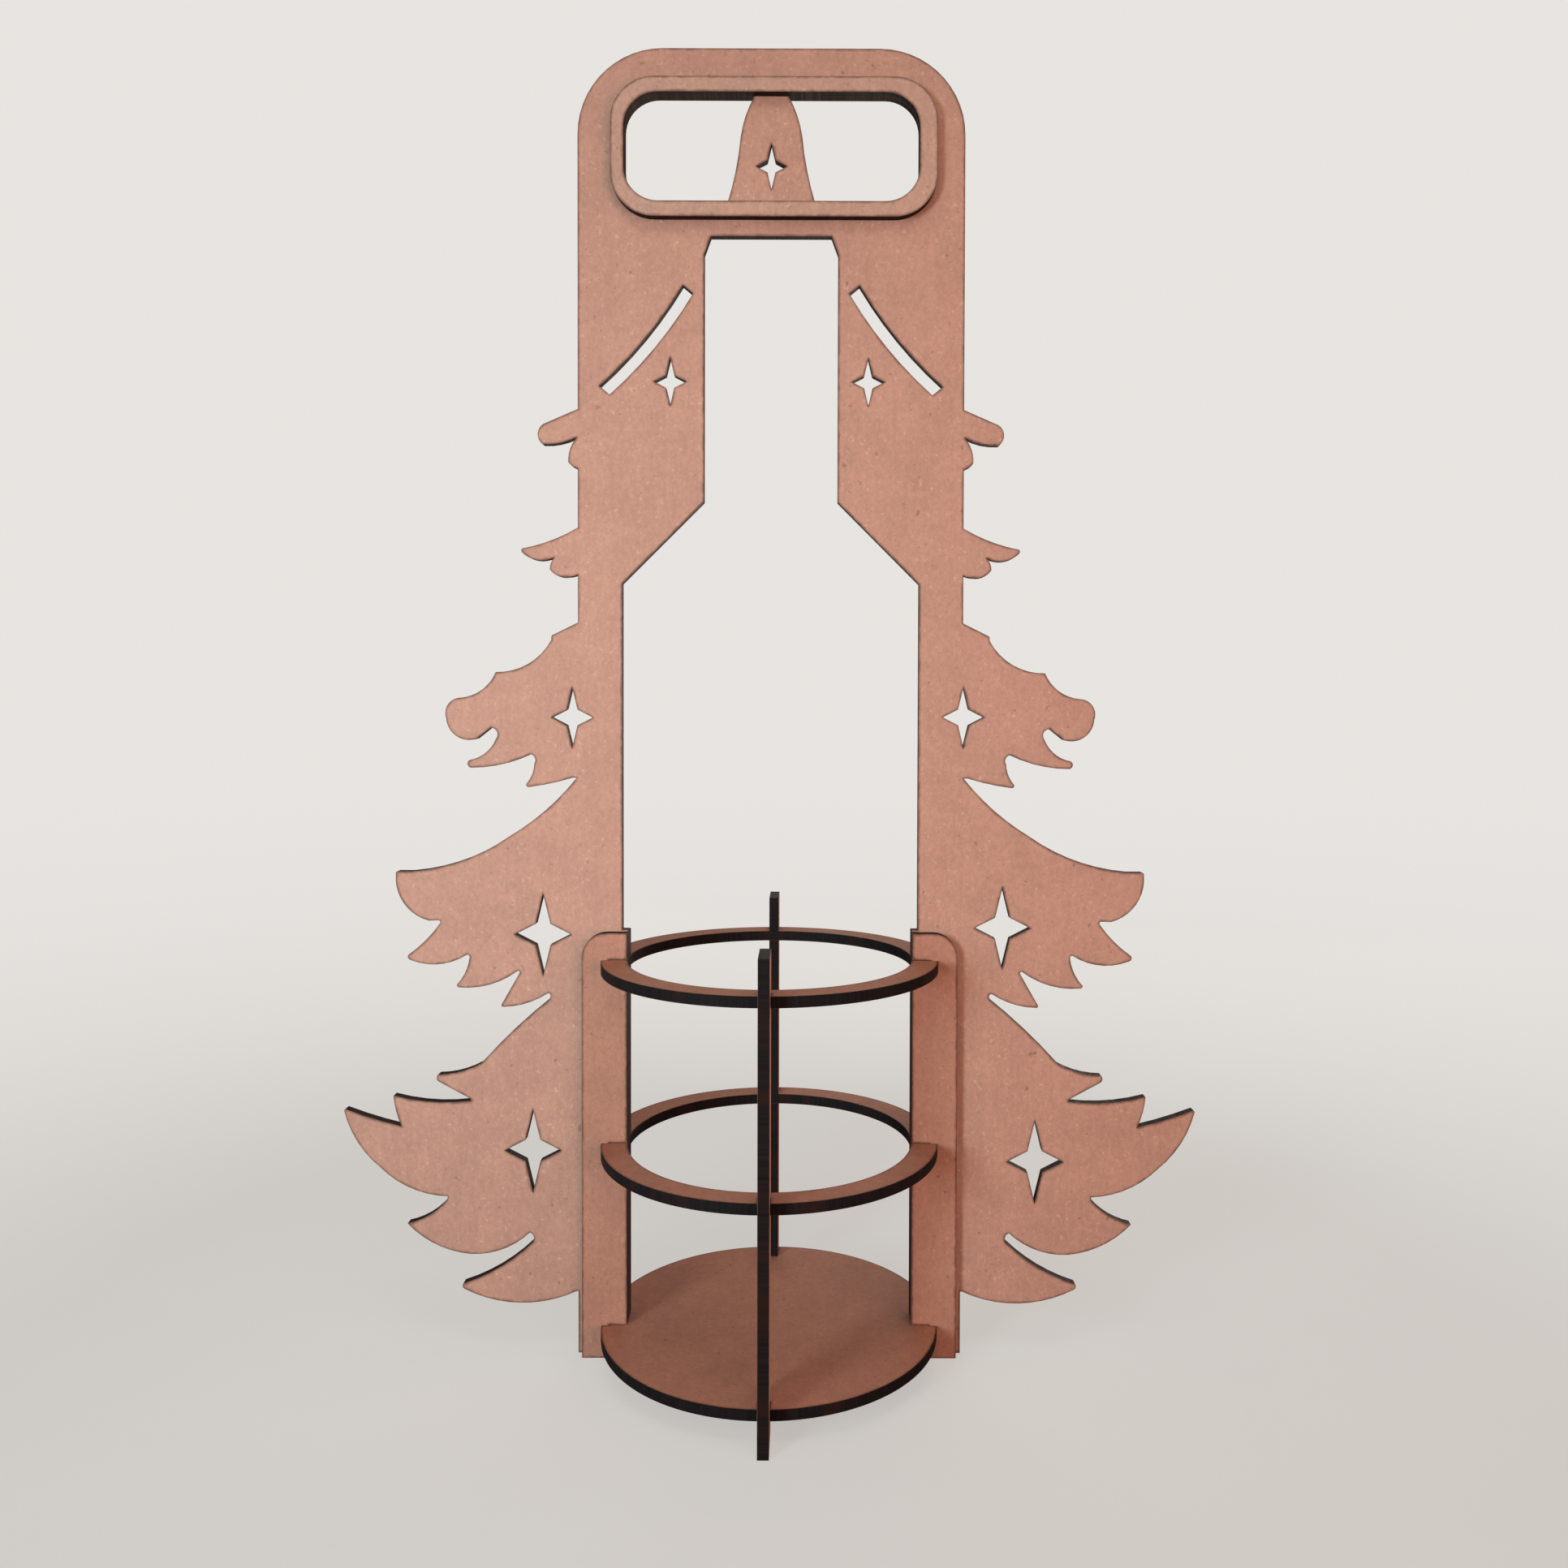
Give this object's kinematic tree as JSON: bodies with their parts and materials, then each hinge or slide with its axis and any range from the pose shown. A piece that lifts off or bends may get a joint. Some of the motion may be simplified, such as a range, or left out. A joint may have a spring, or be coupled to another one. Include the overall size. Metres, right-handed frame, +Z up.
{
  "type": "bottle caddy",
  "caption": "Tree-shaped carrier of thin slotted fibreboard: a tall panel with a hand hole and windows stands across a round well of rings over a base disc that holds a bottle upright.",
  "frame": {"origin": "on the floor, under the middle of the object's box", "axes": "+X to the right across the panel, +Y to the rear through the panel, +Z up"},
  "size_m": [0.2624, 0.1158, 0.4],
  "materials": {
    "panel_board": "raw, laser-cut",
    "handle_board": "raw, laser-cut",
    "cheek_board": "raw, laser-cut",
    "upright_board": "raw, laser-cut",
    "shelf_board": "raw, laser-cut"
  },
  "bodies": {
    "root": {"tree_panel": "panel_board", "handle_ring": "handle_board", "front_left_cheek": "cheek_board", "front_right_cheek": "cheek_board", "rear_left_cheek": "cheek_board", "rear_right_cheek": "cheek_board", "front_upright": "upright_board", "rear_upright": "upright_board", "base_disc": "shelf_board", "lower_ring": "shelf_board", "upper_ring": "shelf_board"}
  },
  "joints": []
}
